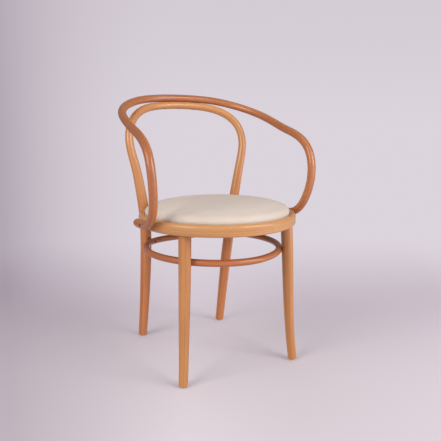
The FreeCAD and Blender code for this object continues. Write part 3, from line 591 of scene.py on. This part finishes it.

# Smooth cream artificial leather, matt. Its fine pebbled grain, 0.7 mm across and so 1400 to the
# metre, breaks the sheen, and the valleys between the pebbles are painted a little darker, as
# shade. Its tone is slightly uneven in clouds about 110 mm wide.
leather, tree, shader = new_material("artificial leather, cream, matt")
place = add(tree, "ShaderNodeTexCoord").outputs["Object"]
pebbles = add(tree, "ShaderNodeTexVoronoi", {"Vector": place, "Scale": 1400.0},
              feature="SMOOTH_F1")
clouds = add(tree, "ShaderNodeTexNoise", {"Vector": place, "Scale": 9.0, "Detail": 3.0})
tone = add(tree, "ShaderNodeMapRange", {"Value": clouds, "From Min": 0.3, "From Max": 0.7})
# Painted shade: the valleys between the pebbles are darkened a little.
valley_shade = add(tree, "ShaderNodeMapRange", {"Value": pebbles, "From Min": 0.3, "From Max": 0.8,
                                           "To Min": 0.0, "To Max": 0.10})
cream = add(tree, "ShaderNodeMix", {"Factor": tone, "A": "#c8baad", "B": "#cfc2b5"},
            data_type="RGBA")
cream = add(tree, "ShaderNodeMix", {"Factor": valley_shade, "A": cream, "B": "#a89888"},
            data_type="RGBA")
dull = add(tree, "ShaderNodeMapRange", {"Value": pebbles, "To Min": 0.58, "To Max": 0.72})
relief = add(tree, "ShaderNodeBump", {"Strength": 0.2, "Distance": 0.00015, "Height": pebbles},
             invert=True)
feed(shader, {"Base Color": cream, "Roughness": dull, "Normal": relief, "IOR": 1.45,
              "Sheen Weight": 0.08, "Sheen Roughness": 0.5})
seat_cover_mesh.materials.append(leather)


# Foam: a crowned disc of firm polyurethane foam, cut from a block and glued to the board. The cover
# pulls its edge round and hides it all.

FOAM_GAP = 0.0026            # between the foam and the cover's inside
FOAM_BASE_Z = 0.4294         # just above the board

foam_outline = pad_outline(COVER_THICKNESS + FOAM_GAP, 90)
foam_outline[:, 1] = np.maximum(foam_outline[:, 1], FOAM_BASE_Z)
seat_foam = turned_surface("seat_foam_block", foam_outline, 96)
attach(seat_foam, "root")
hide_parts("seat_foam")

# Open-celled foam: yellowish and quite dull, with cells of 1.1 mm, or 900 to the metre, that make
# its cut surface rough. Each cell's hollow is painted dark, as shade, and its rim pale.
foam, tree, shader = new_material("polyurethane foam, open cells")
place = add(tree, "ShaderNodeTexCoord").outputs["Object"]
cells = add(tree, "ShaderNodeTexVoronoi", {"Vector": place, "Scale": 900.0})
# Painted shade: the colour is darkest in the hollow of each cell and pale at its rim.
pale = add(tree, "ShaderNodeMapRange", {"Value": cells, "From Max": 0.7})
relief = add(tree, "ShaderNodeBump", {"Strength": 0.6, "Distance": 0.0004, "Height": cells})
yellow = add(tree, "ShaderNodeMix", {"Factor": pale, "A": "#b8a05a", "B": "#efe2a8"},
             data_type="RGBA")
feed(shader, {"Base Color": yellow, "Normal": relief, "Roughness": 0.95})
seat_foam.data.materials.append(foam)


# Seat board: a disc sawn from birch plywood and left raw. It lies in the ring's rebate, held by
# four screws from below, carries the foam and takes the staples.

# Raw birch plywood, dull: pale figured faces, with a streak about 6 mm wide and 125 mm long, and
# an edge where pale and dark plies take turns every 3 mm.
PLY_PAIR = 0.003
plywood, tree, shader = new_material("birch plywood, raw")
place = add(tree, "ShaderNodeTexCoord").outputs["Object"]
split = add(tree, "ShaderNodeSeparateXYZ", {0: place})
ply = add(tree, "ShaderNodeMath", {0: split.outputs["Z"], 1: 1 / PLY_PAIR}, operation="MULTIPLY")
ply = add(tree, "ShaderNodeMath", {0: ply}, operation="FRACT")
dark_ply = add(tree, "ShaderNodeMapRange", {"Value": ply, "From Min": 0.45, "From Max": 0.55})
stretch = add(tree, "ShaderNodeMapping", {"Vector": place, "Scale": (8.0, 160.0, 160.0)})
figure = add(tree, "ShaderNodeTexNoise", {"Vector": stretch, "Scale": 1.0, "Detail": 4.0})
birch = add(tree, "ShaderNodeMix", {"Factor": figure, "A": "#c9a878", "B": "#e6cfa4"},
            data_type="RGBA")
birch = add(tree, "ShaderNodeMix", {"Factor": dark_ply, "A": birch, "B": "#a9855a"},
            data_type="RGBA")
feed(shader, {"Base Color": birch, "Roughness": 0.7})
board_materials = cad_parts["seat_board"].data.materials
board_materials.clear()
board_materials.append(plywood)


# Lining: a thin black spun cloth that closes the underside, stapled at eighteen places. It lies
# flat at the staples and slackens a little between them.

LINING_RADIUS = 0.1795
LINING_Z = 0.4185
LINING_THICKNESS = 0.0004
LINING_SLACK = 0.0004        # how far it hangs between two staples
LINING_RIPPLE = 0.00025
STAPLE_COUNT = 18


def lining_surface(name, rings=44, around=216):
    """A round sheet: at each radius and angle it hangs below its flat level by a slack that grows
    towards the edge, is nothing at the staples and is most half way between them. Five shallow
    ripples run out from the middle and turn a little on their way."""
    radius = np.linspace(0.0, LINING_RADIUS, rings + 1)[1:, None]
    turn = np.linspace(0.0, 2 * math.pi, around, endpoint=False)[None]
    share = radius / LINING_RADIUS
    slack = LINING_SLACK * share ** 3 * (1 - np.cos(STAPLE_COUNT * turn)) / 2
    ripple = LINING_RIPPLE * share * (1 - share) * np.sin(5 * turn + 9 * share)
    z = LINING_Z - slack + ripple
    points = np.stack((radius * np.cos(turn), radius * np.sin(turn) + SEAT_AXIS_Y, z), axis=2)
    points = np.concatenate(([[0.0, SEAT_AXIS_Y, LINING_Z]], points.reshape(-1, 3)))
    k = np.arange(around)
    after = (k + 1) % around
    row = 1 + around * np.arange(rings - 1)[:, None]
    quads = np.stack((row + k, row + around + k, row + around + after, row + after), axis=2)
    first = np.stack((np.zeros(around, int), 1 + k, 1 + after), axis=1)
    return smooth_piece(name, points, first.tolist() + quads.reshape(-1, 4).tolist())


seat_lining = lining_surface("seat_lining_cloth")
thick = seat_lining.modifiers.new("cloth thickness", "SOLIDIFY")
thick.thickness, thick.offset = LINING_THICKNESS, 0.0
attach(seat_lining, "root")
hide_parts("seat_lining")

# Spun polypropylene: black and dull, a felt of fibres pressed together at weld dots 1.4 mm apart,
# or 700 to the metre. The fibres are too fine to show, and are drawn 0.4 mm wide.
lining, tree, shader = new_material("spun polypropylene cloth, black")
place = add(tree, "ShaderNodeTexCoord").outputs["Object"]
dots = add(tree, "ShaderNodeTexVoronoi", {"Vector": place, "Scale": 700.0})
fibres = add(tree, "ShaderNodeTexNoise", {"Vector": place, "Scale": 2500.0, "Detail": 4.0})
weld = add(tree, "ShaderNodeMapRange", {"Value": dots, "From Min": 0.15, "From Max": 0.3})
relief = add(tree, "ShaderNodeBump", {"Strength": 0.5, "Distance": 0.0002, "Height": weld})
black = add(tree, "ShaderNodeMix", {"Factor": fibres, "A": "#141414", "B": "#343434"},
            data_type="RGBA")
feed(shader, {"Base Color": black, "Normal": relief, "Roughness": 0.85})
seat_lining.data.materials.append(lining)


# Fasteners: zinc-plated staples, screws, washers and bolts, brass inserts in the rear legs, and
# small browned screws where a head shows in the wood.


def metal(name, pale, dark, rough_low, rough_high):
    """Plated, browned or turned metal: the tone and the gloss change in soft patches about 3 mm
    wide, as plating and handling leave them, with scratches drawn 0.1 mm fine in the relief."""
    material, tree, shader = new_material(name)
    place = add(tree, "ShaderNodeTexCoord").outputs["Object"]
    patches = add(tree, "ShaderNodeTexNoise", {"Vector": place, "Scale": 300.0, "Detail": 3.0})
    level = add(tree, "ShaderNodeMapRange", {"Value": patches, "From Min": 0.35, "From Max": 0.65})
    rough = add(tree, "ShaderNodeMapRange", {"Value": patches, "To Min": rough_low,
                                             "To Max": rough_high})
    lines = add(tree, "ShaderNodeMapping", {"Vector": place, "Scale": (9000.0, 900.0, 2000.0)})
    scratches = add(tree, "ShaderNodeTexNoise", {"Vector": lines, "Scale": 1.0})
    relief = add(tree, "ShaderNodeBump", {"Strength": 0.1, "Distance": 0.00005,
                                          "Height": scratches})
    colour = add(tree, "ShaderNodeMix", {"Factor": level, "A": dark, "B": pale}, data_type="RGBA")
    feed(shader, {"Base Color": colour, "Roughness": rough, "Normal": relief, "Metallic": 1.0})
    return material


zinc = metal("steel, zinc plated", "#c9ccd0", "#9fa4a8", 0.28, 0.45)
browned = metal("steel, browned", "#7a5238", "#4a2f20", 0.35, 0.55)
brass = metal("brass, turned", "#c8a24e", "#a07c34", 0.25, 0.4)
for node, slot, finish in (("cover_staples", "staple_wire", zinc),
                           ("seat_screws", "zinc_steel", zinc),
                           ("seat_washers", "zinc_steel", zinc),
                           ("rear_leg_bolts", "zinc_steel", zinc),
                           ("rear_leg_washers", "zinc_steel", zinc),
                           ("glide_nails", "zinc_steel", zinc),
                           ("tenon_screws", "zinc_steel", zinc),
                           ("stretcher_screws", "bronzed_steel", browned),
                           ("crest_screws", "bronzed_steel", browned),
                           ("arm_end_screws", "bronzed_steel", browned),
                           ("rear_leg_inserts", "insert_brass", brass)):
    joined_copy(node, node + "_metal").data.materials.append(finish)


# Glides: thin moulded discs of milky nylon, nailed under the four feet so that the chair slides
# easily.

foot_glides = joined_copy("foot_glides", "foot_glides_nylon")

# Milky nylon: light sinks a little into it, and scuffs under 2 mm wide, 600 to the metre, make it
# slightly blotchy.
nylon, tree, shader = new_material("nylon, milky")
place = add(tree, "ShaderNodeTexCoord").outputs["Object"]
scuffs = add(tree, "ShaderNodeTexNoise", {"Vector": place, "Scale": 600.0, "Detail": 5.0})
milky = add(tree, "ShaderNodeMix", {"Factor": scuffs, "A": "#b9b2a6", "B": "#d8d3c8"},
            data_type="RGBA")
feed(shader, {"Base Color": milky, "Roughness": 0.5, "Subsurface Weight": 0.2,
              "Subsurface Scale": 0.002})
foot_glides.data.materials.append(nylon)


# Studio: a pale seamless floor that runs on into its own backdrop, two large soft lamps in front of
# the chair, a low white board on its right, and an even pale surround, dimmer in reflections. The
# backdrop is painted darkest low down behind the chair, as shade, and falls off to the left in
# painted shade, and the floor is painted paler in the middle, as a pool of light.

VIEW_TURN = math.radians(28.74)      # the photographer stands this far round to the chair's left
VIEW_DISTANCE = 1.5
LAMP_TARGET = (0.0, 0.0, 0.40)
FLOOR_HALF = 40.0                    # so wide that its edge lies on the horizon


def backdrop_sides(tree, place, distance):
    """How far back a place lies as the photographer sees it, how much painted shade the left side
    takes there, and how near the middle it is, for a painted pool of light. The painted shade grows
    from 0 on the right of the middle with the power 2.3 of the offset over the distance, and there
    is none beside or behind the photographer. The middle falls evenly from 1 to 0 on both sides."""
    turned = add(tree, "ShaderNodeMapping", {"Vector": place, "Rotation": (0.0, 0.0, VIEW_TURN)})
    split = add(tree, "ShaderNodeSeparateXYZ", {0: turned})
    back = split.outputs["Y"]
    away = add(tree, "ShaderNodeMath", {0: back, 1: distance}, operation="ADD")
    away = add(tree, "ShaderNodeMath", {0: away, 1: 0.1}, operation="MAXIMUM")
    aside = add(tree, "ShaderNodeMath", {0: split.outputs["X"], 1: away}, operation="DIVIDE")
    left = add(tree, "ShaderNodeMapRange", {"Value": aside, "From Min": -0.05, "From Max": -0.41})
    ahead = add(tree, "ShaderNodeMapRange", {"Value": away, "From Min": 0.3, "From Max": 0.7},
                interpolation_type="SMOOTHSTEP")
    # Painted shade on the left side.
    dark = add(tree, "ShaderNodeMath", {0: left, 1: 2.3}, operation="POWER")
    dark = add(tree, "ShaderNodeMath", {0: dark, 1: ahead}, operation="MULTIPLY")
    # Nearness to the middle, where a pool of light is painted.
    off = add(tree, "ShaderNodeMath", {0: aside, 1: 0.04}, operation="ADD")
    off = add(tree, "ShaderNodeMath", {0: off}, operation="ABSOLUTE")
    middle = add(tree, "ShaderNodeMath", {0: off, 1: -1 / 0.22, 2: 1.0},
                 operation="MULTIPLY_ADD", use_clamp=True)
    return back, dark, middle


floor_mesh = bpy.data.meshes.new("floor")
floor_corners = [(x * FLOOR_HALF, y * FLOOR_HALF, 0.0)
                 for x, y in ((-1, -1), (1, -1), (1, 1), (-1, 1))]
floor_mesh.from_pydata(floor_corners, [], [(0, 1, 2, 3)])
floor = placed("floor", floor_mesh)

# Seamless paper, quite matt. Near the chair it is lit by the lamps and takes its shadows, on a
# colour painted paler in the middle, as a pool of light, and darker further back and on the left,
# as shade. Further back and all around, the camera sees a painted glow in place of that: a band of
# painted shade behind the chair, which clears towards the middle, the pale rise above it and
# painted shade on the left. Even near the chair the glow makes up 0.18 of what the camera sees,
# painted light that softens the chair's shadows.
paper, tree, shader = new_material("seamless paper, pale lilac grey")
place = add(tree, "ShaderNodeTexCoord").outputs["Object"]
back, left_shade, middle = backdrop_sides(tree, place, VIEW_DISTANCE)
reach = add(tree, "ShaderNodeVectorMath", {0: place}, operation="LENGTH").outputs["Value"]
zones = []
for value, start, end, least in ((reach, 0.8, 1.9, 0.0),      # away from the chair all around
                                 (back, 0.3, 1.6, 0.0),       # on the rise behind it
                                 (back, 0.40, -0.3, 0.0),     # from the chair to the photographer
                                 (back, 0.1, 0.75, 0.18)):    # seen as the painted glow, never less than 0.18
    zones.append(add(tree, "ShaderNodeMapRange", {"Value": value, "From Min": start,
                                                  "From Max": end, "To Min": least},
                     interpolation_type="SMOOTHSTEP"))
around, risen, near, far = zones
risen = add(tree, "ShaderNodeMath", {0: risen, 1: around}, operation="MAXIMUM")
far = add(tree, "ShaderNodeMath", {0: far, 1: around}, operation="MAXIMUM")
shaded = add(tree, "ShaderNodeMath", {0: left_shade, 1: 0.6}, operation="POWER")
# The paper's colour with painted light and shade: paler in the middle as a pool of light, darker
# further back and on the left as shade.
painted_paper = "#cac0c8"
for share, aim in ((near, "#cdc5ca"), (middle, "#d6ced3"), (shaded, "#b9b0b7")):
    painted_paper = add(tree, "ShaderNodeMix", {"Factor": share, "A": painted_paper, "B": aim}, data_type="RGBA")
feed(shader, {"Base Color": painted_paper, "Roughness": 0.9, "Specular IOR Level": 0.1})
# Painted shade for the glow's left side.
left_shade_glow = add(tree, "ShaderNodeMix", {"Factor": risen, "A": "#a497a4", "B": "#b2a7b3"},
           data_type="RGBA")
# The glow's colours: a band of painted shade behind the chair, paler in the middle and on the rise,
# and painted shade on the left.
painted_backdrop_glow = "#c8bcc6"
for share, aim in ((middle, "#d6cad4"), (near, "#d8cdd4"), (risen, "#dcd4dc"), (left_shade, left_shade_glow)):
    painted_backdrop_glow = add(tree, "ShaderNodeMix", {"Factor": share, "A": painted_backdrop_glow, "B": aim}, data_type="RGBA")
# A glow seen by the camera alone, in place of the lit paper: painted light and shade.
glow = add(tree, "ShaderNodeEmission", {"Color": painted_backdrop_glow})
seen = add(tree, "ShaderNodeLightPath").outputs["Is Camera Ray"]
glowing = add(tree, "ShaderNodeMath", {0: far, 1: seen}, operation="MULTIPLY")
surface = add(tree, "ShaderNodeMixShader", {0: glowing, 1: shader, 2: glow})
feed(tree.nodes["Material Output"], {"Surface": surface})
floor_mesh.materials.append(paper)

world = bpy.data.worlds.new("studio")
bpy.context.scene.world = world
world.use_nodes = True
tree = world.node_tree
tree.nodes.clear()
heading = add(tree, "ShaderNodeTexCoord").outputs["Generated"]
height = add(tree, "ShaderNodeSeparateXYZ", {0: heading}).outputs["Z"]
rays = add(tree, "ShaderNodeLightPath")
level = add(tree, "ShaderNodeMapRange", {"Value": height, "From Min": 0.1, "From Max": 0.9,
                                         "To Min": 0.72, "To Max": 0.60})
mirrored = add(tree, "ShaderNodeMath", {0: rays.outputs["Is Glossy Ray"], 1: -0.65, 2: 1.0},
               operation="MULTIPLY_ADD")
level = add(tree, "ShaderNodeMath", {0: level, 1: mirrored}, operation="MULTIPLY")
fill = add(tree, "ShaderNodeBackground", {"Color": "#f2eef2", "Strength": level})
# The surround as the camera sees it: a little darker higher up, and painted shade on the left.
higher = add(tree, "ShaderNodeMapRange", {"Value": height, "From Min": 0.0, "From Max": 0.2})
_, left_shade, _ = backdrop_sides(tree, heading, 0.0)
wall = "#dcd4dc"
for share, aim in ((higher, "#d4ccd4"), (left_shade, "#b2a7b3")):
    wall = add(tree, "ShaderNodeMix", {"Factor": share, "A": wall, "B": aim}, data_type="RGBA")
wall = add(tree, "ShaderNodeBackground", {"Color": wall, "Strength": 1.0})
shown = add(tree, "ShaderNodeMixShader", {0: rays.outputs["Is Camera Ray"], 1: fill, 2: wall})
add(tree, "ShaderNodeOutputWorld", {"Surface": shown})

# Each lamp and the white board: a soft square that faces the target
for name, lamp_place, size, power in (("lamp_left", (-2.8, -0.8, 2.0), 1.8, 58.0),
                                      ("lamp_right", (1.35, -2.7, 2.0), 1.8, 62.0),
                                      ("board_low_right", (1.7, -1.7, 0.6), 1.0, 11.0)):
    light = bpy.data.lights.new(name, "AREA")
    light.shape, light.size, light.energy = "SQUARE", size, power
    behind = np.array(lamp_place) - np.array(LAMP_TARGET)
    behind /= np.linalg.norm(behind)
    right = np.cross((0.0, 0.0, 1.0), behind)
    right /= np.linalg.norm(right)
    turn = Matrix(np.stack((right, np.cross(behind, right), behind), axis=1).tolist())
    placed(name, light).matrix_world = Matrix.Translation(lamp_place) @ turn.to_4x4()

# Camera: at the photograph's angle, level sideways, looking a little down
CAMERA_PLACE = (-0.7031, -1.3302, 0.6734)
CAMERA_DROP = math.radians(10.38)    # how far down it looks

camera_data = bpy.data.cameras.new("camera")
camera_data.sensor_width, camera_data.lens = 36.0, 43.39
camera = placed("camera", camera_data)
camera.matrix_world = (Matrix.Translation(CAMERA_PLACE) @ Matrix.Rotation(-VIEW_TURN, 4, "Z")
                       @ Matrix.Rotation(math.pi / 2 - CAMERA_DROP, 4, "X"))
bpy.context.scene.camera = camera
bpy.context.scene.view_settings.view_transform = "Standard"
